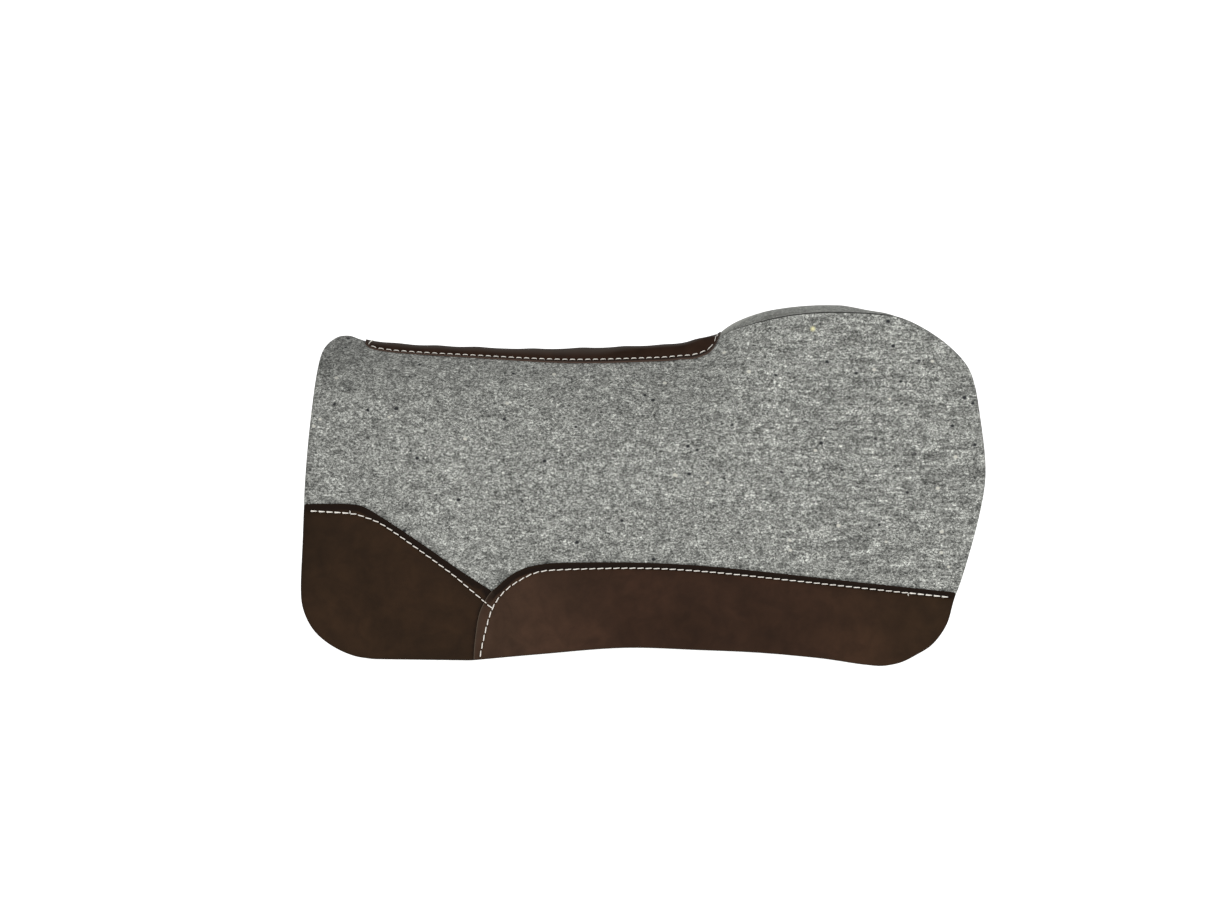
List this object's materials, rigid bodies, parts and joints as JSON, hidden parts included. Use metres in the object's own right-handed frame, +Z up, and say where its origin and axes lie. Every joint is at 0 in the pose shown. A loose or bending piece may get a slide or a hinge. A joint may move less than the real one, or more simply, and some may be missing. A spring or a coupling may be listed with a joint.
{
  "type": "saddle pad",
  "caption": "Contoured wool felt saddle pad standing as a tent, with a leather spine strip and stitched wear leathers along both lower edges.",
  "frame": {"origin": "on the floor, under the middle of the pad as it stands on its lower edges", "axes": "+X along the spine towards the withers, +Z up, the off side at -Y and the near side at +Y"},
  "size_m": [0.7643, 0.2574, 0.3915],
  "materials": {
    "felt": "thick pressed wool felt, mid grey heather with dark and pale fibres, matt",
    "rear_leather": "dark brown oiled leather, satin, darker towards its stitched edge",
    "front_leather": "dark brown oiled leather, satin, a little lighter and more mottled than the rear one",
    "spine_leather": "dark reddish brown oiled leather, satin, puckered along its stitching",
    "thread": "thick waxed cream thread"
  },
  "bodies": {
    "spine": {"spine_leather": "spine_leather", "spine_leather_stitching": "thread", "spine_seam_thread": "thread"},
    "off_side": {"off_side_felt_panel": "felt", "off_side_rear_wear_leather": "rear_leather", "off_side_front_wear_leather": "front_leather", "off_side_rear_wear_leather_stitching": "thread", "off_side_front_wear_leather_stitching": "thread"},
    "near_side": {"near_side_felt_panel": "felt", "near_side_rear_wear_leather": "rear_leather", "near_side_front_wear_leather": "front_leather", "near_side_rear_wear_leather_stitching": "thread", "near_side_front_wear_leather_stitching": "thread"}
  },
  "joints": [
    {"name": "off_side_fold", "type": "hinge", "parent": "spine", "child": "off_side", "pos_m": [0, 0, 0.352], "axis": [-1, 0, 0], "range_deg": [-12, 36], "deforming": ["spine_leather", "spine_leather_stitching", "spine_seam_thread"]},
    {"name": "near_side_fold", "type": "hinge", "parent": "spine", "child": "near_side", "pos_m": [0, 0, 0.352], "axis": [1, 0, 0], "range_deg": [-12, 36]}
  ]
}
